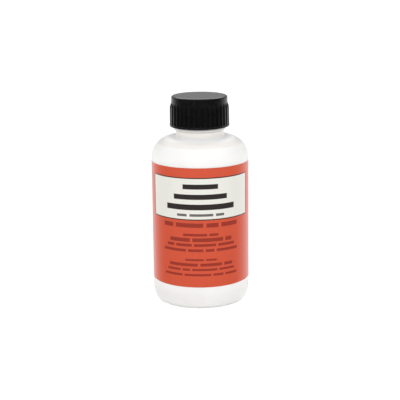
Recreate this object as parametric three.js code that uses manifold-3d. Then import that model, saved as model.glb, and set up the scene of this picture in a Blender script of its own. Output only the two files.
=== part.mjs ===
// A 60 ml nail polish remover bottle: a blow-moulded round bottle with a wrap-around label,
// a pour-hole insert pressed into its neck, and a ribbed screw cap with a foam liner.
// Millimetres, +Z up. The origin is the centre of the base, and the label's seam faces +Y.
import * as THREE from "three";
import { mergeVertices } from "three/addons/utils/BufferGeometryUtils.js";
import Module from "manifold-3d";

// Bottle body
const BODY_DIAMETER = 38.3;
const BODY_WALL = 1.0;
const STRAIGHT_WALL_TOP = 58.1; // height above the table where the shoulder starts to turn in
const SHOULDER_HEIGHT = 8.1;
const HEEL_INSET = 2.6; // how far the foot stands inside the wall
const HEEL_HEIGHT = 5.5;
const FOOT_WIDTH = 2.2; // flat ring that the bottle stands on
const FLOOR_THICKNESS = 1.2;
const PUSH_UP = 2.2; // rise of the domed base

// Neck
const COLUMN_DIAMETER = 19.0;
const COLUMN_HEIGHT = 1.85;
const COLUMN_FILLET = 0.8;
const BEAD_PROUD = 0.6; // the bead is flat underneath and rounded on top
const BEAD_HEIGHT = 0.9;
const FINISH_DIAMETER = 17.9; // root of the neck's screw thread
const FINISH_HEIGHT = 9.1;
const RIM_CHAMFER = 0.35;
const NECK_WALL = 2.15;
const BORE_FILLET = 1.0;

// Pour-hole insert
const FLANGE_THICKNESS = 0.8;
const FLANGE_INSET = 0.5; // how far the flange stays inside the neck's outside
const SKIRT_LENGTH = 6.6;
const SKIRT_WALL = 0.8;
const SKIRT_LEAD_IN = 0.4;
const SEAL_RIB_COUNT = 3;
const SEAL_RIB_PROUD = 0.12;
const SEAL_RIB_HEIGHT = 0.9;
const POUR_HOLE = 3.2;
const POUR_LIP_WIDTH = 0.6;
const POUR_LIP_HEIGHT = 0.6;
const DISH_DEPTH = 0.9;
const DISH_INSET = 0.9; // level ring between the neck's bore and the dish
const DISC_THICKNESS = 0.8;

// Screw cap
const CAP_WALL = 1.0;
const CAP_TOP_THICKNESS = 1.3;
const CAP_EDGE_ROUND = 1.1;
const CAP_DRAFT = 0.1; // growth of the smooth wall's radius from top to foot
const CAP_BORE_DRAFT = 0.1;
const CAP_MOUTH_CHAMFER = 0.3;
const BAND_HEIGHT = 0.8; // plain ring at the foot of the skirt
const BAND_STEP = 0.1; // how far the ring stands out past the ribs
const BAND_CHAMFER = 0.3;
const RIB_COUNT = 36;
const RIB_PROUD = 0.55;
const RIB_ROOT_WIDTH = 1.25;
const RIB_TIP_WIDTH = 0.75;
const RIB_TOP_DROP = 2.7; // smooth shoulder of the cap above the ribs
const RIB_RUN_OUT = 1.7; // height over which a rib dies into the smooth wall
const LINER_THICKNESS = 1.0;

// Label
const LABEL_TOP_MARGIN = 1.45; // bare straight wall left above and below the label
const LABEL_FOOT_MARGIN = 3.75;
const LABEL_THICKNESS = 0.1;
const LABEL_LAP = 5.0; // length of film that overlaps at the seam
const LABEL_STEP = 1.6; // length over which the lapped end climbs onto the first end

// Clearances
const SEAT_GAP = 0.05; // between faces that rest on each other
const PLUG_GAP = 0.05; // between the insert's seal ribs and the neck's bore
const THREAD_ROOM = 1.1; // between the neck and the cap's bore, for the screw thread
const CAP_FOOT_GAP = 0.3; // between the neck's bead and the foot of the closed cap
const LINER_GAP = 0.1; // between the liner's edge and the cap's bore
const GLUE_GAP = 0.03; // adhesive under the label and in its lap

// Fineness of the facets
const BODY_SEGMENTS = 64;
const CAP_SEGMENTS = 72;
const INSERT_SEGMENTS = 48;
const BROAD_ARC_STEPS = 7;
const SMALL_ARC_STEPS = 3;
const WELD_DISTANCE = 1e-4;

const wasm = await Module();
wasm.setup();

const at = (radius, height) => new THREE.Vector2(radius, height);
const AXIS = at(0, 0);

// Points along an ellipse's arc in the (radius, height) half plane, between two angles in degrees.
function arc(centre, radii, fromDegrees, toDegrees, steps) {
  const [from, to] = [fromDegrees, toDegrees].map(THREE.MathUtils.degToRad);
  const curve = new THREE.EllipseCurve(centre.x, centre.y, radii.x, radii.y, from, to, to < from);
  return curve.getPoints(steps);
}

// A shallow dome between the axis and a rim, as points from the axis outwards.
function dome(rimRadius, rimHeight, rise) {
  const sphere = (rimRadius ** 2 + rise ** 2) / (2 * rise);
  const edgeDegrees = THREE.MathUtils.radToDeg(Math.acos(rimRadius / sphere));
  return arc(at(0, rimHeight + rise - sphere), at(sphere, sphere), 90, edgeDegrees, SMALL_ARC_STEPS);
}

// A profile turned about Z. Seen with the radius to the right and the height up, it runs
// anticlockwise round the material.
function turned(profile, segments) {
  const geometry = new THREE.LatheGeometry(profile, segments);
  return geometry.rotateX(Math.PI / 2);
}

// A geometry as a solid for joins and cuts.
function solidOf(geometry) {
  const bare = new THREE.BufferGeometry();
  bare.setAttribute("position", geometry.getAttribute("position"));
  bare.setIndex(geometry.getIndex());
  const merged = mergeVertices(bare, WELD_DISTANCE);
  const vertProperties = merged.getAttribute("position").array;
  const triVerts = new Uint32Array(merged.getIndex().array);
  return new wasm.Manifold(new wasm.Mesh({ numProp: 3, vertProperties, triVerts }));
}

// A solid back as a geometry.
function geometryOf(solid) {
  const mesh = solid.getMesh();
  const geometry = new THREE.BufferGeometry();
  geometry.setAttribute("position", new THREE.BufferAttribute(mesh.vertProperties, 3));
  geometry.setIndex(new THREE.BufferAttribute(mesh.triVerts, 1));
  geometry.computeVertexNormals();
  return geometry;
}

// Radii and heights that several pieces share
const bodyRadius = BODY_DIAMETER / 2;
const columnRadius = COLUMN_DIAMETER / 2;
const finishRadius = FINISH_DIAMETER / 2;
const boreRadius = finishRadius - NECK_WALL;
const shoulderTop = STRAIGHT_WALL_TOP + SHOULDER_HEIGHT;
const beadBottom = shoulderTop + COLUMN_FILLET + COLUMN_HEIGHT;
const beadTop = beadBottom + BEAD_HEIGHT;
const rimHeight = beadTop + FINISH_HEIGHT;
const flangeSeat = rimHeight + SEAT_GAP;
const linerSeat = flangeSeat + FLANGE_THICKNESS + SEAT_GAP;
const capCeiling = linerSeat + LINER_THICKNESS + SEAT_GAP;
const capFoot = beadTop + CAP_FOOT_GAP;
const capHeight = capCeiling + CAP_TOP_THICKNESS - capFoot;
const capBoreRadius = finishRadius + THREAD_ROOM;
const capTopRadius = capBoreRadius + CAP_WALL;
const capFootRadius = capTopRadius + CAP_DRAFT;
const ribTipRadius = capFootRadius + RIB_PROUD;
const labelFoot = HEEL_HEIGHT + LABEL_FOOT_MARGIN;

// The bottle: domed base, rounded heel, straight wall, round shoulder, neck column, bead and
// plain finish outside; the same path one wall thickness in, up to the neck's bore, inside.
function bottleGeometry() {
  const footOuter = bodyRadius - HEEL_INSET;
  const footInner = footOuter - FOOT_WIDTH;
  const ceiling = shoulderTop - BODY_WALL;
  const heelCentre = at(footOuter, HEEL_HEIGHT);
  const shoulderCentre = at(columnRadius + COLUMN_FILLET, STRAIGHT_WALL_TOP);
  const shoulder = at(bodyRadius - shoulderCentre.x, SHOULDER_HEIGHT);
  const filletCentre = at(columnRadius + COLUMN_FILLET, shoulderTop + COLUMN_FILLET);
  const beadRoot = at(columnRadius, beadBottom);
  const lipCentre = at(boreRadius + BORE_FILLET, ceiling + BORE_FILLET);
  const outside = [
    ...dome(footInner, 0, PUSH_UP),
    ...arc(heelCentre, at(HEEL_INSET, HEEL_HEIGHT), -90, 0, BROAD_ARC_STEPS),
    ...arc(shoulderCentre, shoulder, 0, 90, BROAD_ARC_STEPS),
    ...arc(filletCentre, at(COLUMN_FILLET, COLUMN_FILLET), -90, -180, SMALL_ARC_STEPS).slice(1),
    beadRoot,
    ...arc(beadRoot, at(BEAD_PROUD, BEAD_HEIGHT), 0, 90, 2 * SMALL_ARC_STEPS),
    at(finishRadius, beadTop),
    at(finishRadius, rimHeight - RIM_CHAMFER),
    at(finishRadius - RIM_CHAMFER, rimHeight),
  ];
  const innerShoulder = at(shoulder.x - BODY_WALL, shoulder.y - BODY_WALL);
  const innerHeel = at(HEEL_INSET - BODY_WALL, HEEL_HEIGHT - FLOOR_THICKNESS);
  const inside = [
    at(boreRadius, rimHeight),
    ...arc(lipCentre, at(BORE_FILLET, BORE_FILLET), 180, 270, SMALL_ARC_STEPS),
    ...arc(shoulderCentre, innerShoulder, 90, 0, BROAD_ARC_STEPS),
    ...arc(heelCentre, innerHeel, 0, -90, BROAD_ARC_STEPS),
    ...dome(footInner, FLOOR_THICKNESS, PUSH_UP).reverse(),
  ];
  return turned([...outside, ...inside], BODY_SEGMENTS);
}

// The pour-hole insert: a flange on the rim, a dished disc with a lipped hole, and a skirt with
// seal ribs that grips the bore. Its height is measured from the face that rests on the rim.
function insertGeometry() {
  const flangeRadius = finishRadius - FLANGE_INSET;
  const sealRadius = boreRadius - PLUG_GAP;
  const skirtRadius = sealRadius - SEAL_RIB_PROUD;
  const skirtBore = skirtRadius - SKIRT_WALL;
  const holeRadius = POUR_HOLE / 2;
  const lipRadius = holeRadius + POUR_LIP_WIDTH;
  const dishRadius = boreRadius - DISH_INSET;
  const dishFloor = FLANGE_THICKNESS - DISH_DEPTH;
  const discUnderside = dishFloor - DISC_THICKNESS;
  const leadInTop = SKIRT_LEAD_IN - SKIRT_LENGTH;
  const sealRibs = [];
  for (let i = 0; i < SEAL_RIB_COUNT; i++) {
    const middle = leadInTop * (1 - (i + 0.5) / SEAL_RIB_COUNT);
    sealRibs.push(
      at(skirtRadius, middle - SEAL_RIB_HEIGHT / 2),
      at(sealRadius, middle),
      at(skirtRadius, middle + SEAL_RIB_HEIGHT / 2),
    );
  }
  const profile = [
    at(skirtBore, -SKIRT_LENGTH),
    at(skirtRadius - SKIRT_LEAD_IN, -SKIRT_LENGTH),
    at(skirtRadius, leadInTop),
    ...sealRibs,
    at(skirtRadius, 0),
    at(flangeRadius, 0),
    at(flangeRadius, FLANGE_THICKNESS),
    at(dishRadius, FLANGE_THICKNESS),
    at(lipRadius, dishFloor),
    at(lipRadius, dishFloor + POUR_LIP_HEIGHT),
    at(holeRadius, dishFloor + POUR_LIP_HEIGHT),
    at(holeRadius, discUnderside),
    at(skirtBore, discUnderside),
    at(skirtBore, -SKIRT_LENGTH),
  ];
  return turned(profile, INSERT_SEGMENTS);
}

// The label: one strip of film wound once round the straight wall, its second end climbing onto
// the first at the back. The outline is drawn in plan and extruded to the label's height.
function labelGeometry() {
  const inner = bodyRadius + GLUE_GAP;
  const lift = LABEL_THICKNESS + GLUE_GAP;
  const lapTurns = LABEL_LAP / (Math.PI * BODY_DIAMETER);
  const stepTurns = LABEL_STEP / (Math.PI * BODY_DIAMETER);
  const facetTurns = Array.from({ length: BODY_SEGMENTS }, (_, i) => i / BODY_SEGMENTS);
  const turns = [
    ...facetTurns.filter((turn) => turn < 1 - stepTurns),
    1 - stepTurns,
    1,
    ...facetTurns.filter((turn) => turn > 0 && turn < lapTurns).map((turn) => 1 + turn),
    1 + lapTurns,
  ];
  const climb = (turn) => lift * THREE.MathUtils.clamp((turn - 1 + stepTurns) / stepTurns, 0, 1);
  const point = (turn, radius) => at(0, radius).rotateAround(AXIS, turn * 2 * Math.PI);
  const outerEdge = turns.map((turn) => point(turn, inner + climb(turn) + LABEL_THICKNESS));
  const innerEdge = turns.map((turn) => point(turn, inner + climb(turn)));
  const strip = new THREE.Shape([...outerEdge, ...innerEdge.reverse()]);
  const depth = STRAIGHT_WALL_TOP - LABEL_TOP_MARGIN - labelFoot;
  return new THREE.ExtrudeGeometry(strip, { depth, bevelEnabled: false });
}

// The cap's shell: flat top with a rounded edge, drafted smooth wall, plain band at the foot and
// a bore for the neck. Its height is measured from the foot of the skirt.
function capShell() {
  const bandRadius = ribTipRadius + BAND_STEP;
  const mouthRadius = capBoreRadius + CAP_BORE_DRAFT;
  const ceiling = capHeight - CAP_TOP_THICKNESS;
  const edgeCentre = at(capTopRadius - CAP_EDGE_ROUND, capHeight - CAP_EDGE_ROUND);
  const profile = [
    at(0, ceiling),
    at(capBoreRadius, ceiling),
    at(mouthRadius, CAP_MOUTH_CHAMFER),
    at(mouthRadius + CAP_MOUTH_CHAMFER, 0),
    at(bandRadius - BAND_CHAMFER, 0),
    at(bandRadius, BAND_CHAMFER),
    at(bandRadius, BAND_HEIGHT),
    at(capFootRadius, BAND_HEIGHT),
    ...arc(edgeCentre, at(CAP_EDGE_ROUND, CAP_EDGE_ROUND), 0, 90, 2 * SMALL_ARC_STEPS),
    at(0, capHeight),
  ];
  return solidOf(turned(profile, CAP_SEGMENTS));
}

// The cap's grip: a ring with a toothed outline in plan, trimmed by a turned envelope that gives
// the ribs their draft and lets them die into the smooth wall at the top.
function capRibs() {
  const ribTop = capHeight - RIB_TOP_DROP;
  const ribFoot = BAND_HEIGHT / 2;
  const holeRadius = capTopRadius - CAP_WALL / 2;
  const valleyRadius = capTopRadius - CAP_WALL / 4;
  const trimmedRadius = ribTipRadius + RIB_PROUD;
  const halfRoot = RIB_ROOT_WIDTH / 2 / capTopRadius;
  const halfTip = RIB_TIP_WIDTH / 2 / ribTipRadius;
  const outline = [];
  for (let i = 0; i < RIB_COUNT; i++) {
    const middle = (i / RIB_COUNT) * 2 * Math.PI;
    outline.push(
      at(0, valleyRadius).rotateAround(AXIS, middle - halfRoot),
      at(0, trimmedRadius).rotateAround(AXIS, middle - halfTip),
      at(0, trimmedRadius).rotateAround(AXIS, middle + halfTip),
      at(0, valleyRadius).rotateAround(AXIS, middle + halfRoot),
    );
  }
  const ring = new THREE.Shape(outline);
  ring.holes.push(new THREE.Path().absarc(0, 0, holeRadius, 0, 2 * Math.PI, true));
  const toothed = new THREE.ExtrudeGeometry(ring, {
    depth: ribTop - ribFoot,
    bevelEnabled: false,
    curveSegments: CAP_SEGMENTS,
  });
  toothed.translate(0, 0, ribFoot);
  const envelope = [
    at(0, 0),
    at(ribTipRadius, 0),
    at(capTopRadius + RIB_PROUD, ribTop - RIB_RUN_OUT),
    at(capTopRadius - RIB_PROUD, ribTop + RIB_RUN_OUT),
    at(0, ribTop + RIB_RUN_OUT),
  ];
  return solidOf(toothed).intersect(solidOf(turned(envelope, CAP_SEGMENTS)));
}

function linerGeometry() {
  const radius = capBoreRadius - LINER_GAP;
  const profile = [at(0, 0), at(radius, 0), at(radius, LINER_THICKNESS), at(0, LINER_THICKNESS)];
  return turned(profile, CAP_SEGMENTS);
}

// One named piece, standing at its height on the bottle's axis.
function piece(name, geometry, height, finish) {
  const mesh = new THREE.Mesh(geometry, new THREE.MeshStandardMaterial(finish));
  mesh.name = name;
  mesh.position.z = height;
  return mesh;
}

const milkyPolyethylene = { color: "#f4f2ec", roughness: 0.38, metalness: 0 };
const clearPolyethylene = { color: "#e9e9e4", roughness: 0.45, metalness: 0 };
const orangeFilm = { color: "#d75b41", roughness: 0.32, metalness: 0 };
const blackPolypropylene = { color: "#161616", roughness: 0.35, metalness: 0 };
const whiteFoam = { color: "#efeee8", roughness: 0.8, metalness: 0 };

const closure = new THREE.Group();
closure.add(
  piece("screw_cap", geometryOf(capShell().add(capRibs())), capFoot, blackPolypropylene),
  piece("cap_liner", linerGeometry(), linerSeat, whiteFoam),
);

const product = new THREE.Group();
product.add(
  piece("bottle", bottleGeometry(), 0, milkyPolyethylene),
  piece("pour_insert", insertGeometry(), flangeSeat, clearPolyethylene),
  piece("wrap_label", labelGeometry(), labelFoot, orangeFilm),
  closure,
);

export default product;
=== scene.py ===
"""Looks of a 60 ml nail polish remover bottle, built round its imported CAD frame.

Each CAD piece is replaced by a finer surface of the same size: the bottle with its neck thread and
mould lines, the pour-hole insert, the printed film label, the ribbed cap with its inner thread, and
the foam liner. Sizes and places are in millimetres, and become metres where Blender takes them.
"""

import math

import bpy
import numpy as np
from mathutils import Matrix, Vector


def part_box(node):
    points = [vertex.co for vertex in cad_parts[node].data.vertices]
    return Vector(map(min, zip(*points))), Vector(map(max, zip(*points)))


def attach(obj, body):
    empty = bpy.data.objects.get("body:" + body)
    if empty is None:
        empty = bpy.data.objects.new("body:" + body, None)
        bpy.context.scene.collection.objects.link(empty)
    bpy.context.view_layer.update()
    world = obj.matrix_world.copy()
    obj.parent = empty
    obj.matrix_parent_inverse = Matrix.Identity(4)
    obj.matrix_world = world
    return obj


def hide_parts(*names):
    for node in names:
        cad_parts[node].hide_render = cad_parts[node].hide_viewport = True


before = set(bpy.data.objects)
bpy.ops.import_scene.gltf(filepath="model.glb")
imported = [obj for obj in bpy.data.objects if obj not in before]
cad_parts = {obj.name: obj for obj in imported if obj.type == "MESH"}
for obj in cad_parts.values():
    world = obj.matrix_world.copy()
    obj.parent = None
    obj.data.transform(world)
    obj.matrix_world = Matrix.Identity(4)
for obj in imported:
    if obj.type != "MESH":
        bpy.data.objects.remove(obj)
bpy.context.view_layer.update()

MM = 0.001


def node_box(node):
    """Lowest and highest corner of a CAD node, in millimetres."""
    low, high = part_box(node)
    return np.array(low) / MM, np.array(high) / MM


_, bottle_high = node_box("bottle")
insert_low, insert_high = node_box("pour_insert")
label_low, label_high = node_box("wrap_label")
cap_low, cap_high = node_box("screw_cap")
liner_low, liner_high = node_box("cap_liner")

# Bottle body
BODY_RADIUS = bottle_high[0]
BODY_WALL = 1.0
WALL_TOP = 58.1
SHOULDER_HEIGHT = 8.1
HEEL_INSET = 2.6
HEEL_HEIGHT = 5.5
FOOT_WIDTH = 2.2
FOOT_OUTER = BODY_RADIUS - HEEL_INSET
FOOT_INNER = FOOT_OUTER - FOOT_WIDTH
FLOOR_THICKNESS = 1.2
PUSH_UP = 2.2
PARTING_PROUD = 0.05
PARTING_HALF_WIDTH = 0.16
PINCH_PROUD = 0.3
PINCH_HALF_WIDTH = 0.45
PINCH_HALF_LENGTH = 11.5
PINCH_FADE = 1.0

# Neck
COLUMN_RADIUS = 9.5
COLUMN_FILLET = 0.8
BEAD_PROUD = 0.6
BEAD_HEIGHT = 0.9
BEAD_LIP_ROUND = 0.12
FINISH_RADIUS = 8.95
RIM_HEIGHT = bottle_high[2]
RIM_ROUND = 0.35
FINISH_TOP = RIM_HEIGHT - RIM_ROUND
BORE_RADIUS = 6.8
BORE_FILLET = 1.0
CAP_FOOT_GAP = 0.3
BEAD_TOP = cap_low[2] - CAP_FOOT_GAP

# Painted light and shade in the milky wall's colour, by height above the base: full up to the shoulder,
# painted shade on the shoulder's top and up the neck, painted light to lift the crease at the neck's foot,
# and a painted shadow line under the bead. Each tone is raised to the powers below for red, green and
# blue, so that greys are warm
PAINTED_SHADING_FOOT = 60.0
PAINTED_SHADING_WARMTH = (1.0, 1.15, 1.3)
NECK_PAINTED_LIGHT_AND_SHADE = (
    (63.2, 1.0),
    (63.9, 0.89),
    (65.0, 0.86),
    (65.7, 1.05),
    (66.2, 1.05),
    (66.7, 0.9),
    (BEAD_TOP - 1.5, 0.94),
    (BEAD_TOP - 1.25, 0.7),
    (BEAD_TOP - 0.95, 0.7),
    (BEAD_TOP - 0.85, 1.0),
)

# Painted shade on the heel, by height: a faint grey band low on the wall
HEEL_SHADE_TOP = 9.5
HEEL_PAINTED_SHADE = ((1.0, 1.0), (4.6, 0.94), (HEEL_SHADE_TOP, 1.0))

# Pour-hole insert
SEAT_GAP = 0.05
SEAL_RIB_PROUD = 0.12
SEAL_RIB_COUNT = 3
SEAL_RIB_HEIGHT = 0.9
SEAL_RIB_CREST = 0.12
SEAL_RADIUS = BORE_RADIUS - SEAT_GAP
SKIRT_RADIUS = SEAL_RADIUS - SEAL_RIB_PROUD
SKIRT_WALL = 0.8
SKIRT_BORE = SKIRT_RADIUS - SKIRT_WALL
SKIRT_LEAD_IN = 0.4
FLANGE_RADIUS = insert_high[0]
POUR_HOLE_RADIUS = 1.6
POUR_LIP_RADIUS = 2.2
POUR_LIP_HEIGHT = 0.6
DISH_INSET = 0.9
DISH_RADIUS = BORE_RADIUS - DISH_INSET
DISH_DEPTH = 0.9
DISH_EDGE_TURN = 15
DISC_THICKNESS = 0.8
INSERT_EDGE_ROUND = 0.2
INSERT_FILLET = 0.3

# Foam liner
LINER_EDGE_ROUND = 0.18
PRESSED_DEPTH = 0.07
PRESSED_EDGE = 0.3

# Screw thread: 8 threads an inch, right-handed
LEAD = 3.175
THREAD_CREST = 0.25
THREAD_ROOT = 0.75
THREAD_FADE = 0.09
NECK_THREAD_PROUD = 0.92
NECK_THREAD_DROP = 5.6
NECK_THREAD_FOOT = RIM_HEIGHT - NECK_THREAD_DROP
NECK_THREAD_TURNS = 1.25
CAP_THREAD_PROUD = 0.82
CAP_THREAD_TURNS = 1.1

# Screw cap, with heights from its foot
CAP_FOOT = cap_low[2]
CAP_HEIGHT = cap_high[2] - cap_low[2]
CAP_TOP_THICKNESS = 1.3
CAP_CEILING = CAP_HEIGHT - CAP_TOP_THICKNESS
CAP_TOP_RADIUS = 11.05
CAP_FOOT_RADIUS = 11.15
CAP_EDGE_ROUND = 0.7
CAP_EDGE_REACH = 1.1
CAP_WALL_TOP = CAP_HEIGHT - CAP_EDGE_ROUND
CAP_BORE_RADIUS = 10.05
CAP_MOUTH_RADIUS = 10.15
CAP_MOUTH_ROUND = 0.3
BAND_RADIUS = cap_high[0]
BAND_HEIGHT = 0.8
BAND_ROUND = 0.2
RIB_COUNT = 36
RIB_PROUD = 0.55
RIB_HALF_TIP = 0.36
RIB_HALF_ROOT = 0.62
RIB_TOP_DROP = 2.7
RIB_TOP = CAP_HEIGHT - RIB_TOP_DROP
RIB_RUN_OUT = 1.7

# Label, in millimetres round the wall from the front's middle and up from the label's foot
LABEL_THICKNESS = 0.1
GLUE_GAP = 0.03
LABEL_LAP = 5.0
LABEL_STEP = 1.6
UNPRINTED_END = 0.18
LABEL_HEIGHT = label_high[2] - label_low[2]
PANEL_HALF_WIDTH = 21.9
PANEL_FOOT = 27.35
PANEL_TOP = 43.25
PANEL_BORDER = 0.42
ORANGE, PANEL_WHITE, BORDER_BROWN, TITLE_BLACK, SMALL_GREY, FINE_RED, FILM_EDGE = range(7)

# Rows of plain printed bars, each centred: middle height, bar height, gap, widths, ink
PRINT_ROWS = (
    (40.1, 1.9, 0, (13.8,), TITLE_BLACK),
    (36.1, 2.0, 0, (21.4,), TITLE_BLACK),
    (32.1, 2.2, 0, (28.0,), TITLE_BLACK),
    (28.95, 1.0, 1.1, (4.0, 9.2, 3.4), SMALL_GREY),
    (24.9, 1.7, 1.2, (4.4, 11.0, 4.8, 7.4), FINE_RED),
    (21.1, 1.0, 0.9, (9.4, 3.6), FINE_RED),
    (19.1, 1.5, 1.0, (8.4, 12.2, 2.8), FINE_RED),
    (17.0, 1.1, 0.9, (3.2, 6.4, 8.6, 7.2), FINE_RED),
    (14.9, 1.1, 0.9, (9.8, 6.0, 3.4, 9.6), FINE_RED),
    (11.1, 0.8, 0.9, (7.2, 4.2), FINE_RED),
    (9.1, 1.2, 1.0, (11.8, 8.6, 3.8), FINE_RED),
    (7.1, 0.9, 0.9, (5.8, 3.0, 9.8, 6.8), FINE_RED),
    (5.0, 0.9, 0.9, (8.0, 10.4, 4.2, 5.6), FINE_RED),
)

# Fineness of the surfaces: rounding, steps along arcs and profiles, columns round each piece, and extra
# grid lines beside a parting line (degrees), across a rib (millimetres) and up its run-out (shares of it)
SAME_PLACE = 1e-6
ANGLE_DIGITS = 6
SMOOTH_ANGLE = math.radians(35)
ARC_DEGREES = 7.5
ARC_LEAST_STEPS = 3
DOME_POINTS = 12
OUTSIDE_STEP = 0.7
FINISH_STEP = 0.14
INSIDE_STEP = 1.4
INSERT_STEP = 0.5
LINER_STEP = 0.2
FLAT_STEP = 0.8
BORE_STEP = 0.26
RIB_STEP = 0.32
BODY_COLUMNS = 192
INSERT_COLUMNS = 144
LINER_COLUMNS = 144
LABEL_COLUMNS = 260
LABEL_ROWS = 40
LABEL_DIGITS = 3
BESIDE_PARTING = (0.15, 0.3, 0.5, 0.75, 1.1)
ACROSS_RIB = (0, 0.22, 0.34, 0.42, 0.5, 0.58, 0.66, 0.8)
UP_RUN_OUT = (-1.1, -1.0, -0.67, -0.33, 0, 0.1)

# Camera, from the photograph: a distance and an elevation from the point that it looks at
CAMERA_DISTANCE = 440
CAMERA_ELEVATION = math.radians(13.18)
CAMERA_ROLL = 0.0113
CAMERA_AIM = (-0.16, 0, 39.82)
CAMERA_LENS = 98.8
CAMERA_SENSOR = 36
CAMERA_NEAR = 10

# Floor, and the right-hand one of two soft lamps that are alike, with its power in watts
FLOOR_HALF_WIDTH = 3000
FLOOR_GLOW = 0.34
LAMP_PLACE = (700, -640, 440)
LAMP_AIM = (0, 0, 40)
LAMP_SIZE = 600
LAMP_POWER = 3.1

# Strengths of the surroundings: an even fill for matt surfaces, and for reflections a dark room in
# front, a white sweep low behind the bottle, a greyer wall above the sweep and a panel overhead
FILL_HORIZON = 0.75
FILL_ZENITH = 0.8
DARK_ROOM = 0.06
WHITE_SWEEP = 1.1
GREY_WALL = 0.34
BRIGHT_PANEL = 2.65

# Directions of the backdrop and the panel, the cosines at which each begins and is full, and the
# heights between which the sweep turns into the wall
BACKDROP_MIDDLE = (0.07, 0.998, 0)
BACKDROP_BEGINS, BACKDROP_FULL = -0.08, 0.85
PANEL_MIDDLE = (0, 0.42, 0.907)
PANEL_BEGINS, PANEL_FULL = 0.7, 0.85
SWEEP_ENDS, WALL_BEGINS = -0.15, 0.25


def smoothstep(t):
    """3 t^2 - 2 t^3, with t held between 0 and 1."""
    t = np.clip(t, 0, 1)
    return t * t * (3 - 2 * t)


def arc(centre, radii, start, end):
    """Points centre + radii * (cos a, sin a) in the plane of radius and height, for a from start to
    end in degrees."""
    steps = max(ARC_LEAST_STEPS, math.ceil(abs(end - start) / ARC_DEGREES))
    angle = np.radians(np.linspace(start, end, steps + 1))
    return np.column_stack([centre[0] + radii[0] * np.cos(angle), centre[1] + radii[1] * np.sin(angle)])


def dome(rim_radius, rim_height, rise):
    """A shallow dome from the axis to its rim: height = rim + rise * (1 - (radius / rim radius)^2)."""
    share = np.linspace(0, 1, DOME_POINTS)
    return np.column_stack([rim_radius * share, rim_height + rise * (1 - share**2)])


def profile(stretches, spacing):
    """One line through all the stretches, with its straight runs cut evenly so that no two points are
    further apart than spacing."""
    points = np.vstack(stretches)
    steps = np.diff(points, axis=0)
    length = np.linalg.norm(steps, axis=1)
    moves = length > SAME_PLACE
    points = points[np.append(moves, True)]
    steps = steps[moves]
    count = np.maximum(1, np.ceil(length[moves] / spacing)).astype(int)
    part = np.arange(count.sum()) - np.repeat(np.cumsum(count) - count, count)
    share = part / np.repeat(count, count)
    cut = np.repeat(points[:-1], count, axis=0) + share[:, None] * np.repeat(steps, count, axis=0)
    return np.vstack([cut, points[-1]])


def mesh_of(name, points, faces):
    """A smooth mesh from points in millimetres and a list of arrays of faces, one array for each
    number of corners."""
    mesh = bpy.data.meshes.new(name)
    corners = np.concatenate([f.ravel() for f in faces])
    sizes = np.concatenate([np.full(len(f), f.shape[1]) for f in faces])
    mesh.vertices.add(len(points))
    mesh.loops.add(len(corners))
    mesh.polygons.add(len(sizes))
    mesh.vertices.foreach_set("co", (points * MM).astype(np.float32).ravel())
    mesh.loops.foreach_set("vertex_index", corners.astype(np.int32))
    mesh.polygons.foreach_set("loop_start", (np.cumsum(sizes) - sizes).astype(np.int32))
    mesh.polygons.foreach_set("use_smooth", np.ones(len(sizes), bool))
    mesh.update(calc_edges=True)
    mesh.validate()
    mesh.set_sharp_from_angle(angle=SMOOTH_ANGLE)
    return mesh


def turned_mesh(name, radius, height, angle):
    """A turned surface: point (i, j) is (radius cos angle, radius sin angle, height), with a row for
    each profile point and a column for each angle. The columns join up into rings. A first and last
    row on the axis become one point each, and otherwise the last row joins up with the first."""
    rows, columns = radius.shape
    poles = radius[0].max() < SAME_PLACE
    points = np.stack([radius * np.cos(angle), radius * np.sin(angle), height], axis=-1)
    index = np.arange(rows * columns).reshape(rows, columns)
    if not poles:
        index = np.vstack([index, index[:1]])
    here, beside = index[:-1], np.roll(index[:-1], -1, axis=1)
    above, beside_above = index[1:], np.roll(index[1:], -1, axis=1)
    quads = np.stack([here, beside, beside_above, above], axis=-1)
    if not poles:
        return mesh_of(name, points.reshape(-1, 3), [quads.reshape(-1, 4)])
    first = np.stack([np.full(columns, index[0, 0]), beside_above[0], above[0]], axis=-1)
    last = np.stack([here[-1], beside[-1], np.full(columns, index[-1, 0])], axis=-1)
    faces = [quads[1:-1].reshape(-1, 4), first, last]
    used = np.unique(np.concatenate([f.ravel() for f in faces]))
    renumber = np.zeros(rows * columns, int)
    renumber[used] = np.arange(len(used))
    return mesh_of(name, points.reshape(-1, 3)[used], [renumber[f] for f in faces])


def thread_ridge(angle, height, foot, turns):
    """A right-handed screw ridge, from 0 to 1: the point's height above the helix
    foot + LEAD * angle / 2 pi is folded to the nearest turn, the ridge is full within its crest and gone
    outside its root, and it fades at the thread's two ends."""
    along = angle / (2 * np.pi)
    turn = along + np.round((height - foot) / LEAD - along)
    away = np.abs(height - foot - LEAD * turn)
    ridge = smoothstep((THREAD_ROOT - away) / (THREAD_ROOT - THREAD_CREST))
    ends = smoothstep(turn / THREAD_FADE) * smoothstep((turns - turn) / THREAD_FADE)
    return ridge * ends


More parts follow.
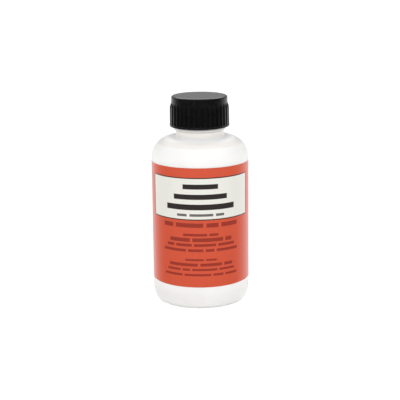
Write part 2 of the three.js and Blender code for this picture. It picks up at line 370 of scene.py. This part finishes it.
def bottle_line():
    """The bottle's half section as one line that runs over the base, up the outside, over the rim and
    down the inside, and the number of its points that lie outside."""
    shoulder_top = WALL_TOP + SHOULDER_HEIGHT
    shoulder_centre = (COLUMN_RADIUS + COLUMN_FILLET, WALL_TOP)
    reach = BODY_RADIUS - shoulder_centre[0]
    ceiling = shoulder_top - BODY_WALL
    inner_heel = (HEEL_INSET - BODY_WALL, HEEL_HEIGHT - FLOOR_THICKNESS)
    bead_foot = BEAD_TOP - BEAD_HEIGHT
    lip = BEAD_LIP_ROUND
    outside = profile(
        [
            dome(FOOT_INNER, 0, PUSH_UP),
            arc((FOOT_OUTER, HEEL_HEIGHT), (HEEL_INSET, HEEL_HEIGHT), -90, 0),
            arc(shoulder_centre, (reach, SHOULDER_HEIGHT), 0, 90),
            arc((shoulder_centre[0], shoulder_top + COLUMN_FILLET), (COLUMN_FILLET,) * 2, -90, -180),
            [(COLUMN_RADIUS, bead_foot)],
            arc((COLUMN_RADIUS + BEAD_PROUD - lip, bead_foot + lip), (lip, lip), -90, 0),
            arc((COLUMN_RADIUS, bead_foot + lip), (BEAD_PROUD, BEAD_HEIGHT - lip), 0, 90),
            [(FINISH_RADIUS, BEAD_TOP)],
        ],
        OUTSIDE_STEP,
    )
    finish = profile([[(FINISH_RADIUS, BEAD_TOP), (FINISH_RADIUS, FINISH_TOP)]], FINISH_STEP)
    inside = profile(
        [
            arc((FINISH_RADIUS - RIM_ROUND, FINISH_TOP), (RIM_ROUND,) * 2, 0, 90),
            arc((BORE_RADIUS + RIM_ROUND, FINISH_TOP), (RIM_ROUND,) * 2, 90, 180),
            arc((BORE_RADIUS + BORE_FILLET, ceiling + BORE_FILLET), (BORE_FILLET,) * 2, 180, 270),
            arc(shoulder_centre, (reach - BODY_WALL, SHOULDER_HEIGHT - BODY_WALL), 90, 0),
            arc((FOOT_OUTER, HEEL_HEIGHT), inner_heel, 0, -90),
            dome(FOOT_INNER, FLOOR_THICKNESS, PUSH_UP)[::-1],
        ],
        INSIDE_STEP,
    )
    return np.vstack([outside, finish[1:], inside[1:]]), len(outside) + len(finish) - 1


def bottle_mesh():
    """The bottle's shell, turned from its line. Added to it are the neck's screw ridge, the two mould
    parting lines proud * exp(-(distance / width)^2), and the pinched weld across the base."""
    line, outside_count = bottle_line()
    is_outside = (np.arange(len(line)) < outside_count)[:, None]
    even = np.linspace(0, 2 * np.pi, BODY_COLUMNS, endpoint=False)
    beside = np.radians(BESIDE_PARTING)
    partings = [side + sign * beside for side in (0, np.pi) for sign in (-1, 1)]
    angle = np.mod(np.concatenate([even, *partings]), 2 * np.pi)
    angle = np.unique(np.round(angle, ANGLE_DIGITS))
    radius, height = line[:, :1] + 0 * angle, line[:, 1:] + 0 * angle
    screw = thread_ridge(angle, height, NECK_THREAD_FOOT, NECK_THREAD_TURNS)
    on_finish = is_outside & (height > BEAD_TOP) & (height < FINISH_TOP)
    from_parting = radius * np.sin(angle)
    seam = np.exp(-((from_parting / PARTING_HALF_WIDTH) ** 2)) * is_outside
    on_base = is_outside & (height < PUSH_UP) & (radius < FOOT_INNER)
    pinch = smoothstep(1 - np.abs(from_parting) / PINCH_HALF_WIDTH)
    pinch = pinch * smoothstep((PINCH_HALF_LENGTH - radius) / PINCH_FADE) * on_base
    radius = radius + NECK_THREAD_PROUD * screw * on_finish + PARTING_PROUD * seam * (radius > FOOT_INNER)
    radius = np.minimum(radius, BODY_RADIUS + PARTING_PROUD * seam)
    return turned_mesh("bottle_shell", radius, height - PINCH_PROUD * pinch, angle)


def insert_mesh():
    """The pour-hole insert, turned from a closed line round its section: skirt with seal ribs, flange on
    the neck's rim, dished top and a lipped hole."""
    foot, seat, top = insert_low[2], RIM_HEIGHT + SEAT_GAP, insert_high[2]
    lead_in_top = foot + SKIRT_LEAD_IN
    dish_floor = top - DISH_DEPTH
    lip_top = dish_floor + POUR_LIP_HEIGHT
    underside = dish_floor - DISC_THICKNESS
    edge, fillet = INSERT_EDGE_ROUND, INSERT_FILLET
    rib_middles = lead_in_top + (seat - lead_in_top) * (np.arange(SEAL_RIB_COUNT) + 0.5) / SEAL_RIB_COUNT
    rib_radii = [SKIRT_RADIUS, SEAL_RADIUS, SEAL_RADIUS, SKIRT_RADIUS]
    rib_heights = np.array([-SEAL_RIB_HEIGHT, -SEAL_RIB_CREST, SEAL_RIB_CREST, SEAL_RIB_HEIGHT]) / 2
    line = profile(
        [
            [(SKIRT_BORE, foot), (SKIRT_RADIUS - SKIRT_LEAD_IN, foot), (SKIRT_RADIUS, lead_in_top)],
            *[np.column_stack([rib_radii, rib_heights + middle]) for middle in rib_middles],
            [(SKIRT_RADIUS, seat)],
            arc((FLANGE_RADIUS - edge, seat + edge), (edge, edge), -90, 0),
            arc((FLANGE_RADIUS - edge, top - edge), (edge, edge), 0, 90),
            arc((DISH_RADIUS, top - fillet), (fillet, fillet), 90, 90 + DISH_EDGE_TURN),
            [(POUR_LIP_RADIUS + fillet, dish_floor)],
            arc((POUR_LIP_RADIUS - edge, lip_top - edge), (edge, edge), 0, 90),
            arc((POUR_HOLE_RADIUS + edge, lip_top - edge), (edge, edge), 90, 180),
            [(POUR_HOLE_RADIUS, underside)],
            arc((SKIRT_BORE - fillet, underside - fillet), (fillet, fillet), 90, 0),
            [(SKIRT_BORE, foot)],
        ],
        INSERT_STEP,
    )[:-1]
    angle = np.linspace(0, 2 * np.pi, INSERT_COLUMNS, endpoint=False)
    return turned_mesh("pour_hole_insert", line[:, :1] + 0 * angle, line[:, 1:] + 0 * angle, angle)


def cap_line():
    """The cap's half section as one line that runs over the ceiling, down the bore, round the foot and up
    over the top, and the number of its points that lie inside."""
    under = profile([[(0, CAP_CEILING), (CAP_BORE_RADIUS, CAP_CEILING)]], FLAT_STEP)
    bore = profile([[(CAP_BORE_RADIUS, CAP_CEILING), (CAP_MOUTH_RADIUS, CAP_MOUTH_ROUND)]], BORE_STEP)
    run_out = RIB_TOP + RIB_RUN_OUT * np.array(UP_RUN_OUT)
    draft = (CAP_FOOT_RADIUS - CAP_TOP_RADIUS) / (CAP_WALL_TOP - BAND_HEIGHT)
    outside = profile(
        [
            arc((CAP_MOUTH_RADIUS + CAP_MOUTH_ROUND, CAP_MOUTH_ROUND), (CAP_MOUTH_ROUND,) * 2, 180, 270),
            arc((BAND_RADIUS - BAND_ROUND, BAND_ROUND), (BAND_ROUND,) * 2, -90, 0),
            arc((BAND_RADIUS - BAND_ROUND, BAND_HEIGHT - BAND_ROUND), (BAND_ROUND,) * 2, 0, 90),
            [(CAP_FOOT_RADIUS, BAND_HEIGHT)],
            np.column_stack([CAP_TOP_RADIUS + draft * (CAP_WALL_TOP - run_out), run_out]),
            arc((CAP_TOP_RADIUS - CAP_EDGE_REACH, CAP_WALL_TOP), (CAP_EDGE_REACH, CAP_EDGE_ROUND), 0, 90),
        ],
        RIB_STEP,
    )
    top = profile([[outside[-1], (0, CAP_HEIGHT)]], FLAT_STEP)
    return np.vstack([under, bore[1:], outside[1:], top[1:]]), len(under) + len(bore) - 1


def cap_mesh():
    """The cap, turned from its line. Ribs and the inner screw ridge are added to the radius: a rib is full
    within its tip and gone outside its root, and it slopes down to the wall at its upper end."""
    line, inside_count = cap_line()
    is_outside = (np.arange(len(line)) >= inside_count)[:, None]
    pitch = 2 * np.pi / RIB_COUNT
    across = np.array(ACROSS_RIB) / CAP_FOOT_RADIUS
    one_rib = np.concatenate([-across[:0:-1], across, [pitch / 2]])
    angle = (one_rib + pitch * np.arange(RIB_COUNT)[:, None]).ravel() - np.pi / 2
    radius, height = line[:, :1] + 0 * angle, line[:, 1:] + 0 * angle
    off_middle = np.abs(np.mod(angle + np.pi / 2 + pitch / 2, pitch) - pitch / 2) * CAP_FOOT_RADIUS
    rib = smoothstep((RIB_HALF_ROOT - off_middle) / (RIB_HALF_ROOT - RIB_HALF_TIP))
    lift = np.clip((RIB_TOP - height) / RIB_RUN_OUT, 0, 1) * (height >= BAND_HEIGHT)
    on_wall = is_outside & (radius < CAP_FOOT_RADIUS + SAME_PLACE)
    screw_foot = NECK_THREAD_FOOT - LEAD / 2 - CAP_FOOT
    screw = thread_ridge(np.mod(angle, 2 * np.pi), height, screw_foot, CAP_THREAD_TURNS)
    on_bore = ~is_outside & (height < CAP_CEILING - THREAD_ROOT)
    radius = radius + RIB_PROUD * rib * lift * on_wall - CAP_THREAD_PROUD * screw * on_bore
    return turned_mesh("ribbed_cap", radius, height + CAP_FOOT, angle)


def liner_mesh():
    """The foam liner: a disc with soft edges and a shallow ring pressed into its underside by the insert's
    flange, depth * smoothstep at both edges of the ring."""
    edge = LINER_EDGE_ROUND
    radius, foot, top = liner_high[0], liner_low[2], liner_high[2]
    line = profile(
        [
            [(0, foot)],
            arc((radius - edge, foot + edge), (edge, edge), -90, 0),
            arc((radius - edge, top - edge), (edge, edge), 0, 90),
            [(0, top)],
        ],
        LINER_STEP,
    )
    past_dish = smoothstep((line[:, 0] - DISH_RADIUS) / PRESSED_EDGE)
    inside_flange = smoothstep((FLANGE_RADIUS - line[:, 0]) / PRESSED_EDGE)
    line[:, 1] += PRESSED_DEPTH * past_dish * inside_flange * (line[:, 1] < foot + edge)
    angle = np.linspace(0, 2 * np.pi, LINER_COLUMNS, endpoint=False)
    return turned_mesh("foam_liner", line[:, :1] + 0 * angle, line[:, 1:] + 0 * angle, angle)


def print_areas():
    """The label's printed rectangles, in the order that they are laid down: low and high distance round
    the wall, low and high height, ink."""
    inner = (PANEL_HALF_WIDTH, PANEL_FOOT, PANEL_TOP)
    outer = (PANEL_HALF_WIDTH + PANEL_BORDER, PANEL_FOOT - PANEL_BORDER, PANEL_TOP + PANEL_BORDER)
    areas = [
        (-half, half, foot, top, ink)
        for (half, foot, top), ink in ((outer, BORDER_BROWN), (inner, PANEL_WHITE))
    ]
    for middle, bar, gap, widths, ink in PRINT_ROWS:
        left = -(sum(widths) + gap * (len(widths) - 1)) / 2
        for width in widths:
            areas.append((left, left + width, middle - bar / 2, middle + bar / 2, ink))
            left += width + gap
    return areas


def printed_inks(along, rows, areas):
    """The ink of each cell of the printed face: that of the last area laid down over its middle."""
    middle_x = (along[1:] + along[:-1])[:, None] / 2
    middle_z = (rows[1:] + rows[:-1]) / 2
    inks = np.full((len(along) - 1, len(rows) - 1), ORANGE)
    for left, right, foot, top, ink in areas:
        covered = (middle_x > left) & (middle_x < right) & (middle_z > foot) & (middle_z < top)
        inks[covered] = ink
    return inks


def label_mesh():
    """The film label: a thin section, printed face out, carried round the wall from the seam at the back
    and on over its own first end, which it climbs by one film and one glue thickness. The grid has a line
    at each edge of the print, so that every face has one ink."""
    half_turn = math.pi * BODY_RADIUS
    end = half_turn + LABEL_LAP
    areas = [*print_areas(), (end - UNPRINTED_END, end, 0, LABEL_HEIGHT, FILM_EDGE)]
    even_columns = np.linspace(-half_turn, end, LABEL_COLUMNS)
    step_columns = [half_turn - LABEL_STEP, half_turn]
    print_columns = [x for area in areas for x in area[:2]]
    along = np.unique(np.round(np.concatenate([even_columns, step_columns, print_columns]), LABEL_DIGITS))
    even_rows = np.linspace(0, LABEL_HEIGHT, LABEL_ROWS)
    print_rows = [z for area in areas for z in area[2:4]]
    rows = np.unique(np.round(np.concatenate([even_rows, print_rows]), LABEL_DIGITS))
    climb = (LABEL_THICKNESS + GLUE_GAP) * np.clip((along - half_turn + LABEL_STEP) / LABEL_STEP, 0, 1)
    inner = BODY_RADIUS + GLUE_GAP + climb
    section_height = np.concatenate([rows, rows[[-1, 0]]])
    section_out = np.concatenate([np.full(len(rows), LABEL_THICKNESS), [0, 0]])
    radius = inner[:, None] + section_out
    angle = (along / BODY_RADIUS - np.pi / 2)[:, None]
    height = label_low[2] + section_height + 0 * radius
    points = np.stack([radius * np.cos(angle), radius * np.sin(angle), height], axis=-1)
    index = np.arange(radius.size).reshape(radius.shape)
    here, above = index, np.roll(index, -1, axis=1)
    quads = np.stack([here[:-1], here[1:], above[1:], above[:-1]], axis=-1)
    ends = np.stack([index[0], index[-1, ::-1]])
    mesh = mesh_of("film_label", points.reshape(-1, 3), [quads.reshape(-1, 4), ends])
    inks = np.full(quads.shape[:2], FILM_EDGE)
    inks[:, : len(rows) - 1] = printed_inks(along, rows, areas)
    layer = mesh.attributes.new("ink", "FLOAT", "FACE")
    layer.data.foreach_set("value", np.append(inks.ravel(), [FILM_EDGE] * 2).astype(np.float32))
    return mesh


def linear(hex_colour):
    """An sRGB hex colour as linear red, green, blue and alpha 1."""
    srgb = np.array([int(hex_colour[i : i + 2], 16) for i in (1, 3, 5)]) / 255
    value = np.where(srgb <= 0.04045, srgb / 12.92, ((srgb + 0.055) / 1.055) ** 2.4)
    return (*value.tolist(), 1.0)


def set_inputs(tree, node, inputs):
    """Sets each named socket of a node to a value, or links another node's socket to it."""
    for name, value in inputs.items():
        if isinstance(value, bpy.types.NodeSocket):
            tree.links.new(value, node.inputs[name])
        else:
            node.inputs[name].default_value = value


def add_node(tree, kind, inputs=None, stops=(), **settings):
    """Adds a node with its settings and its inputs. Stops are a colour ramp's places and colours, from
    low to high."""
    node = tree.nodes.new(kind)
    for name, value in settings.items():
        setattr(node, name, value)
    set_inputs(tree, node, inputs or {})
    for number, (place, colour) in enumerate(stops):
        elements = node.color_ramp.elements
        stop = elements[number] if number < len(elements) else elements.new(place)
        stop.position = place
        stop.color = colour
    return node


def new_material(name):
    """A material with a Principled surface, its tree and its shader."""
    material = bpy.data.materials.new(name)
    material.use_nodes = True
    tree = material.node_tree
    return material, tree, tree.nodes["Principled BSDF"]


def blow_moulded_polyethylene():
    """Natural high-density polyethylene with a little white, blow-moulded against a polished mould: milky,
    a little light passes through the wall, and the skin has a soft gloss with shallow ripples. Its grain is
    drawn coarser than a real one, so that it shows."""
    cloud_size, ripple_size, grain_size = 14 * MM, 2.4 * MM, 0.35 * MM
    ripple_depth, grain_depth = 0.03 * MM, 0.004 * MM
    material, tree, shader = new_material("blow_moulded_polyethylene")
    where = add_node(tree, "ShaderNodeTexCoord").outputs["Object"]
    height = add_node(tree, "ShaderNodeSeparateXYZ", {"Vector": where}).outputs["Z"]
    clouds = add_node(
        tree,
        "ShaderNodeTexNoise",
        {"Vector": where, "Scale": 1 / cloud_size, "Detail": 3, "Roughness": 0.5},
    )
    tint = add_node(
        tree,
        "ShaderNodeValToRGB",
        {"Fac": clouds.outputs["Fac"]},
        [(0.35, linear("#F1EFEC")), (0.65, linear("#F7F5F2"))],
    )
    # Painted light and shade by height: shade on the shoulder's top and the neck, light at the neck's foot,
    # and a painted shadow line under the bead
    painted_shading_height = add_node(
        tree,
        "ShaderNodeMapRange",
        {"Value": height, "From Min": PAINTED_SHADING_FOOT * MM, "From Max": BEAD_TOP * MM},
    )
    neck_painted_shading = add_node(
        tree,
        "ShaderNodeValToRGB",
        {"Fac": painted_shading_height.outputs["Result"]},
        [
            ((above_base - PAINTED_SHADING_FOOT) / (BEAD_TOP - PAINTED_SHADING_FOOT), (*np.power(tone, PAINTED_SHADING_WARMTH).tolist(), 1))
            for above_base, tone in NECK_PAINTED_LIGHT_AND_SHADE
        ],
    )
    milk = add_node(
        tree,
        "ShaderNodeVectorMath",
        {0: tint.outputs["Color"], 1: neck_painted_shading.outputs["Color"]},
        operation="MULTIPLY",
    )
    # Painted shade: a faint grey band low on the heel, by height
    heel_shade_height = add_node(tree, "ShaderNodeMapRange", {"Value": height, "From Max": HEEL_SHADE_TOP * MM})
    heel_painted_shade = add_node(
        tree,
        "ShaderNodeValToRGB",
        {"Fac": heel_shade_height.outputs["Result"]},
        [(above_base / HEEL_SHADE_TOP, (tone, tone, tone, 1)) for above_base, tone in HEEL_PAINTED_SHADE],
    )
    heel_painted_shade.color_ramp.interpolation = "EASE"
    milk_with_painted_shading = add_node(
        tree,
        "ShaderNodeVectorMath",
        {0: milk.outputs["Vector"], 1: heel_painted_shade.outputs["Color"]},
        operation="MULTIPLY",
    )
    ripple = add_node(tree, "ShaderNodeTexNoise", {"Vector": where, "Scale": 1 / ripple_size, "Detail": 2})
    gloss = add_node(
        tree, "ShaderNodeMapRange", {"Value": ripple.outputs["Fac"], "To Min": 0.34, "To Max": 0.44}
    )
    grain = add_node(tree, "ShaderNodeTexNoise", {"Vector": where, "Scale": 1 / grain_size, "Detail": 1})
    fine = add_node(
        tree, "ShaderNodeBump", {"Height": grain.outputs["Fac"], "Distance": grain_depth, "Strength": 0.6}
    )
    broad = add_node(
        tree,
        "ShaderNodeBump",
        {
            "Height": ripple.outputs["Fac"],
            "Distance": ripple_depth,
            "Strength": 0.5,
            "Normal": fine.outputs["Normal"],
        },
    )
    surface = {
        "Base Color": milk_with_painted_shading.outputs["Vector"],
        "Roughness": gloss.outputs["Result"],
        "Normal": broad.outputs["Normal"],
        "IOR": 1.54,
        "Subsurface Weight": 0.6,
        "Subsurface Radius": (1.0, 0.9, 0.8),
        "Subsurface Scale": 1.5 * MM,
    }
    set_inputs(tree, shader, surface)
    return material


def moulded_black_polypropylene():
    """Polypropylene coloured with carbon black, injection-moulded: deep black with a soft gloss, a fine
    mould grain and faint grey rub marks. The grain is drawn coarser than a real one, so that it shows."""
    rub_size, grain_size, grain_depth = 1.6 * MM, 0.3 * MM, 0.003 * MM
    material, tree, shader = new_material("moulded_black_polypropylene")
    where = add_node(tree, "ShaderNodeTexCoord").outputs["Object"]
    rubs = add_node(
        tree,
        "ShaderNodeTexNoise",
        {"Vector": where, "Scale": 1 / rub_size, "Detail": 6, "Roughness": 0.7},
    )
    tone = add_node(
        tree,
        "ShaderNodeValToRGB",
        {"Fac": rubs.outputs["Fac"]},
        [(0.5, linear("#0D0D0D")), (0.8, linear("#1D1C1C"))],
    )
    gloss = add_node(
        tree, "ShaderNodeMapRange", {"Value": rubs.outputs["Fac"], "To Min": 0.22, "To Max": 0.36}
    )
    grain = add_node(tree, "ShaderNodeTexNoise", {"Vector": where, "Scale": 1 / grain_size, "Detail": 1})
    bump = add_node(
        tree, "ShaderNodeBump", {"Height": grain.outputs["Fac"], "Distance": grain_depth, "Strength": 0.6}
    )
    surface = {
        "Base Color": tone.outputs["Color"],
        "Roughness": gloss.outputs["Result"],
        "Normal": bump.outputs["Normal"],
        "IOR": 1.49,
    }
    set_inputs(tree, shader, surface)
    return material


def printed_gloss_film():
    """White polypropylene film, flexo-printed in flat inks and varnished: even colour with a fine press
    mottle, and a clear gloss over it."""
    mottle_size, slack_size, slack_depth = 0.9 * MM, 9 * MM, 0.06 * MM
    inks = {
        ORANGE: "#D15133",
        PANEL_WHITE: "#E3E3DB",
        BORDER_BROWN: "#4A2F29",
        TITLE_BLACK: "#322C2B",
        SMALL_GREY: "#6A6664",
        FINE_RED: "#9C3120",
        FILM_EDGE: "#E9E7E2",
    }
    material, tree, shader = new_material("printed_gloss_film")
    where = add_node(tree, "ShaderNodeTexCoord").outputs["Object"]
    ink = add_node(tree, "ShaderNodeAttribute", attribute_name="ink")
    place = add_node(
        tree,
        "ShaderNodeMapRange",
        {"Value": ink.outputs["Fac"], "From Min": -0.5, "From Max": len(inks) - 0.5},
    )
    colour = add_node(
        tree,
        "ShaderNodeValToRGB",
        {"Fac": place.outputs["Result"]},
        [(number / len(inks), linear(hex_colour)) for number, hex_colour in inks.items()],
    )
    colour.color_ramp.interpolation = "CONSTANT"
    mottle = add_node(
        tree,
        "ShaderNodeTexNoise",
        {"Vector": where, "Scale": 1 / mottle_size, "Detail": 4, "Roughness": 0.6},
    )
    spread = add_node(
        tree, "ShaderNodeMapRange", {"Value": mottle.outputs["Fac"], "To Min": 0.93, "To Max": 1.07}
    )
    inked = add_node(
        tree,
        "ShaderNodeVectorMath",
        {0: colour.outputs["Color"], "Scale": spread.outputs["Result"]},
        operation="SCALE",
    )
    gloss = add_node(
        tree, "ShaderNodeMapRange", {"Value": mottle.outputs["Fac"], "To Min": 0.28, "To Max": 0.4}
    )
    slack = add_node(tree, "ShaderNodeTexNoise", {"Vector": where, "Scale": 1 / slack_size, "Detail": 1})
    bump = add_node(
        tree, "ShaderNodeBump", {"Height": slack.outputs["Fac"], "Distance": slack_depth, "Strength": 0.6}
    )
    surface = {
        "Base Color": inked.outputs["Vector"],
        "Roughness": gloss.outputs["Result"],
        "Normal": bump.outputs["Normal"],
        "IOR": 1.5,
        "Coat Weight": 0.4,
        "Coat Roughness": 0.12,
    }
    set_inputs(tree, shader, surface)
    return material


def moulded_clear_polyethylene():
    """Low-density polyethylene with no colour, injection-moulded: waxy and cloudy, and some light sinks
    into it."""
    haze_size, haze_depth = 2 * MM, 0.02 * MM
    material, tree, shader = new_material("moulded_clear_polyethylene")
    where = add_node(tree, "ShaderNodeTexCoord").outputs["Object"]
    haze = add_node(tree, "ShaderNodeTexNoise", {"Vector": where, "Scale": 1 / haze_size, "Detail": 3})
    tint = add_node(
        tree,
        "ShaderNodeValToRGB",
        {"Fac": haze.outputs["Fac"]},
        [(0.3, linear("#DFE1DF")), (0.7, linear("#EDEEEB"))],
    )
    gloss = add_node(
        tree, "ShaderNodeMapRange", {"Value": haze.outputs["Fac"], "To Min": 0.25, "To Max": 0.4}
    )
    bump = add_node(
        tree, "ShaderNodeBump", {"Height": haze.outputs["Fac"], "Distance": haze_depth, "Strength": 0.5}
    )
    surface = {
        "Base Color": tint.outputs["Color"],
        "Roughness": gloss.outputs["Result"],
        "Normal": bump.outputs["Normal"],
        "IOR": 1.51,
        "Subsurface Weight": 0.6,
        "Subsurface Radius": (1.0, 1.0, 0.9),
        "Subsurface Scale": 1.5 * MM,
    }
    set_inputs(tree, shader, surface)
    return material


def closed_cell_foam():
    """Cross-linked polyethylene foam, cut from sheet: matt white with fine closed cells."""
    cell_size, cell_depth = 0.4 * MM, 0.08 * MM
    material, tree, shader = new_material("closed_cell_foam")
    where = add_node(tree, "ShaderNodeTexCoord").outputs["Object"]
    cells = add_node(tree, "ShaderNodeTexVoronoi", {"Vector": where, "Scale": 1 / cell_size})
    tint = add_node(
        tree,
        "ShaderNodeValToRGB",
        {"Fac": cells.outputs["Distance"]},
        [(0.0, linear("#F2F1EC")), (0.8, linear("#E2E0D9"))],
    )
    rough = add_node(
        tree, "ShaderNodeMapRange", {"Value": cells.outputs["Distance"], "To Min": 0.75, "To Max": 0.95}
    )
    bump = add_node(
        tree,
        "ShaderNodeBump",
        {"Height": cells.outputs["Distance"], "Distance": cell_depth, "Strength": 0.7},
        invert=True,
    )
    surface = {
        "Base Color": tint.outputs["Color"],
        "Roughness": rough.outputs["Result"],
        "Normal": bump.outputs["Normal"],
    }
    set_inputs(tree, shader, surface)
    return material


def add_piece(mesh, material, body, node):
    """One visible piece that rides on a body in place of a CAD node."""
    mesh.materials.append(material)
    piece = bpy.data.objects.new(mesh.name, mesh)
    bpy.context.scene.collection.objects.link(piece)
    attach(piece, body)
    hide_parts(node)


def add_floor():
    """A wide white floor that takes the bottle's shadow. To the camera it also glows a little, so that it
    runs into the white background."""
    corners = FLOOR_HALF_WIDTH * np.array([(-1, -1, 0), (1, -1, 0), (1, 1, 0), (-1, 1, 0)])
    floor = bpy.data.objects.new("floor", mesh_of("floor", corners, [np.array([[0, 1, 2, 3]])]))
    bpy.context.scene.collection.objects.link(floor)
    material, tree, shader = new_material("white_floor")
    ray = add_node(tree, "ShaderNodeLightPath")
    glow = add_node(
        tree, "ShaderNodeMath", {0: ray.outputs["Is Camera Ray"], 1: FLOOR_GLOW}, operation="MULTIPLY"
    )
    surface = {
        "Base Color": linear("#F2F2F2"),
        "Roughness": 1.0,
        "Specular IOR Level": 0.0,
        "Emission Color": (1, 1, 1, 1),
        "Emission Strength": glow.outputs["Value"],
    }
    set_inputs(tree, shader, surface)
    floor.data.materials.append(material)
    floor.visible_glossy = False


def light_world():
    """White to the camera and through clear pieces. Matt surfaces get an even fill, and reflections see a
    white backdrop behind the bottle, a bright panel overhead and a dark room in front."""
    world = bpy.data.worlds.new("studio")
    bpy.context.scene.world = world
    world.use_nodes = True
    tree = world.node_tree
    ray = add_node(tree, "ShaderNodeLightPath")
    direction = add_node(tree, "ShaderNodeTexCoord").outputs["Generated"]
    height = add_node(tree, "ShaderNodeSeparateXYZ", {"Vector": direction}).outputs["Z"]
    fill = add_node(
        tree, "ShaderNodeMapRange", {"Value": height, "To Min": FILL_HORIZON, "To Max": FILL_ZENITH}
    )
    backdrop = add_node(
        tree,
        "ShaderNodeMapRange",
        {
            "Value": height,
            "From Min": SWEEP_ENDS,
            "From Max": WALL_BEGINS,
            "To Min": WHITE_SWEEP,
            "To Max": GREY_WALL,
        },
    )
    to_backdrop = add_node(
        tree, "ShaderNodeVectorMath", {0: direction, 1: BACKDROP_MIDDLE}, operation="DOT_PRODUCT"
    )
    behind = add_node(
        tree,
        "ShaderNodeMapRange",
        {
            "Value": to_backdrop.outputs["Value"],
            "From Min": BACKDROP_BEGINS,
            "From Max": BACKDROP_FULL,
            "To Min": DARK_ROOM,
            "To Max": backdrop.outputs["Result"],
        },
        interpolation_type="SMOOTHSTEP",
    )
    to_panel = add_node(
        tree, "ShaderNodeVectorMath", {0: direction, 1: PANEL_MIDDLE}, operation="DOT_PRODUCT"
    )
    overhead = add_node(
        tree,
        "ShaderNodeMapRange",
        {
            "Value": to_panel.outputs["Value"],
            "From Min": PANEL_BEGINS,
            "From Max": PANEL_FULL,
            "To Max": BRIGHT_PANEL,
        },
        interpolation_type="SMOOTHSTEP",
    )
    mirrored = add_node(
        tree,
        "ShaderNodeMath",
        {0: behind.outputs["Result"], 1: overhead.outputs["Result"]},
        operation="ADD",
    )
    lit = add_node(
        tree,
        "ShaderNodeMix",
        {
            "Factor": ray.outputs["Is Glossy Ray"],
            "A": fill.outputs["Result"],
            "B": mirrored.outputs["Value"],
        },
    )
    seen = add_node(
        tree,
        "ShaderNodeMath",
        {0: ray.outputs["Is Camera Ray"], 1: ray.outputs["Is Transmission Ray"]},
        operation="MAXIMUM",
    )
    strength = add_node(
        tree, "ShaderNodeMix", {"Factor": seen.outputs["Value"], "A": lit.outputs["Result"], "B": 1.0}
    )
    surface = {"Color": (1, 1, 1, 1), "Strength": strength.outputs["Result"]}
    set_inputs(tree, tree.nodes["Background"], surface)


def add_softbox(name, side):
    """A square soft lamp in front of the bottle, on its left (-1) or right (1), turned towards it and kept
    out of reflections."""
    right, back, up = LAMP_PLACE
    place = Vector((side * right, back, up)) * MM
    lamp = bpy.data.lights.new(name, "AREA")
    lamp.shape = "SQUARE"
    lamp.size = LAMP_SIZE * MM
    lamp.energy = LAMP_POWER
    softbox = bpy.data.objects.new(name, lamp)
    softbox.location = place
    softbox.rotation_mode = "QUATERNION"
    softbox.rotation_quaternion = (Vector(LAMP_AIM) * MM - place).to_track_quat("-Z", "Y")
    softbox.visible_glossy = False
    bpy.context.scene.collection.objects.link(softbox)


def add_camera():
    """A long lens at the photograph's place: a distance and elevation from a point near the bottle's axis,
    turned a little about its own line of sight."""
    cosine, sine = math.cos(CAMERA_ELEVATION), math.sin(CAMERA_ELEVATION)
    ahead, up, right = Vector((0, cosine, -sine)), Vector((0, sine, cosine)), Vector((1, 0, 0))
    rolled_right = right * math.cos(CAMERA_ROLL) - up * math.sin(CAMERA_ROLL)
    rolled_up = right * math.sin(CAMERA_ROLL) + up * math.cos(CAMERA_ROLL)
    axes = Matrix((rolled_right, rolled_up, -ahead)).transposed()
    place = (Vector(CAMERA_AIM) - ahead * CAMERA_DISTANCE) * MM
    camera = bpy.data.objects.new("camera", bpy.data.cameras.new("camera"))
    camera.data.sensor_width = CAMERA_SENSOR
    camera.data.lens = CAMERA_LENS
    camera.data.clip_start = CAMERA_NEAR * MM
    camera.matrix_world = Matrix.Translation(place) @ axes.to_4x4()
    bpy.context.scene.collection.objects.link(camera)
    bpy.context.scene.camera = camera


add_camera()
add_floor()
light_world()
add_softbox("front_left", -1)
add_softbox("front_right", 1)
bpy.context.scene.view_settings.view_transform = "Standard"

add_piece(bottle_mesh(), blow_moulded_polyethylene(), "bottle", "bottle")
add_piece(insert_mesh(), moulded_clear_polyethylene(), "bottle", "pour_insert")
add_piece(label_mesh(), printed_gloss_film(), "bottle", "wrap_label")
add_piece(cap_mesh(), moulded_black_polypropylene(), "cap", "screw_cap")
add_piece(liner_mesh(), closed_cell_foam(), "liner", "cap_liner")
